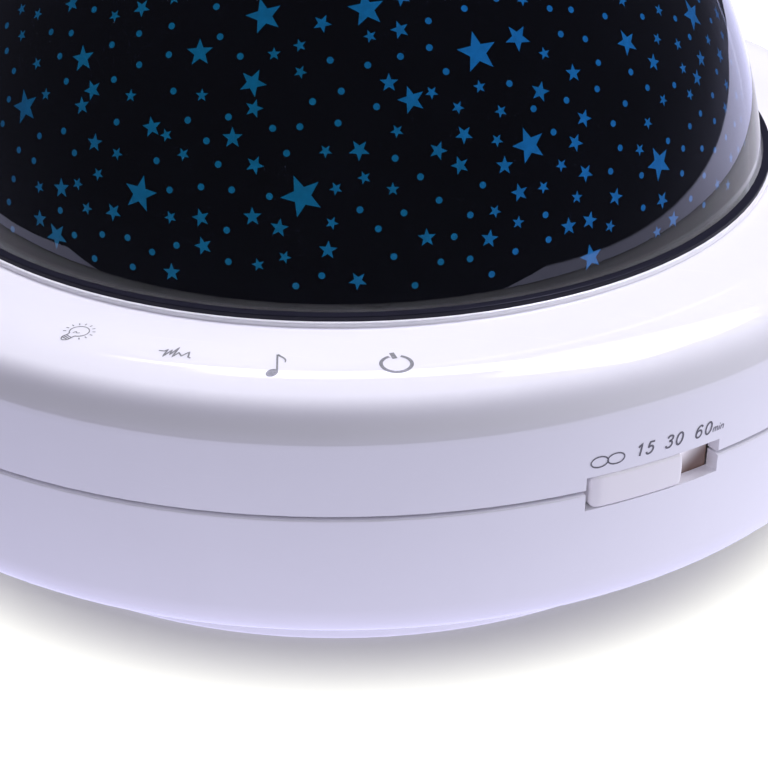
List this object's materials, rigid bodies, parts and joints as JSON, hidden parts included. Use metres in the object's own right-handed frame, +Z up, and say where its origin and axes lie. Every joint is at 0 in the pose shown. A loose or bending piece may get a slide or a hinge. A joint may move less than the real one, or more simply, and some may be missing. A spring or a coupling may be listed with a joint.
{
  "type": "star night light projector",
  "caption": "Low round night light whose dark glossy dome throws stars from a star mask lit from inside, with touch keys on top and a sliding timer switch in its side.",
  "frame": {"origin": "on the floor plane, on the dome's axis, at the bottom centre of the base", "axes": "+Z up along the dome's axis; -Y is the front, towards the middle of the four touch keys; +X is to the right seen from the front"},
  "size_m": [0.1968, 0.1968, 0.1225],
  "materials": {
    "white_shell": "gloss, faintly cool white moulding",
    "knob": "satin, faintly warm white moulding",
    "dark_clear": "high gloss, clear",
    "star_film": "smooth black film",
    "black_gloss": "gloss",
    "steel": "satin",
    "bright_steel": "bright",
    "inner_white": "satin",
    "lamp_board_white": "matt",
    "lamp_lens": "clear",
    "circuit_green": "satin lacquer",
    "chip_black": "matt",
    "capacitor_blue": "satin sleeve",
    "connector_cream": "matt",
    "foam_grey": "matt foam",
    "cell_grey": "satin",
    "speaker_grey": "satin",
    "speaker_paper": "matt pressed paper",
    "magnet": "matt",
    "foot_rubber": "matt",
    "lead_red": "satin insulation"
  },
  "bodies": {
    "base": {"upper_housing": "white_shell", "lower_housing": "white_shell", "dome_cover": "dark_clear", "star_mask": "star_film", "dome_ring": "black_gloss", "dome_screws": "steel", "light_deck": "inner_white", "lamp_post": "inner_white", "lamp_post_screws": "steel", "lamp_board": "lamp_board_white", "lamp_leds": "lamp_lens", "main_board": "circuit_green", "board_chips": "chip_black", "board_capacitors": "capacitor_blue", "board_connectors": "connector_cream", "board_screws": "steel", "touch_board": "circuit_green", "touch_pads": "foam_grey", "touch_board_screws": "steel", "timer_board": "circuit_green", "timer_switch_case": "steel", "power_board": "circuit_green", "power_socket_shell": "bright_steel", "power_socket_tongue": "chip_black", "battery_door": "white_shell", "battery_door_screws": "steel", "battery_cells": "cell_grey", "battery_contacts": "bright_steel", "speaker_frame": "speaker_grey", "speaker_cone": "speaker_paper", "speaker_magnet": "magnet", "speaker_gasket": "foam_grey", "speaker_screws": "steel", "housing_screws": "steel", "rubber_feet": "foot_rubber", "inner_leads": "lead_red"},
    "timer_slider": {"timer_knob": "knob", "timer_switch_lever": "chip_black"}
  },
  "joints": [
    {"name": "timer_slide", "type": "hinge", "parent": "base", "child": "timer_slider", "pos_m": [0, 0, 0.03595], "axis": [0, 0, 1], "range_deg": [0, 3.49]}
  ]
}
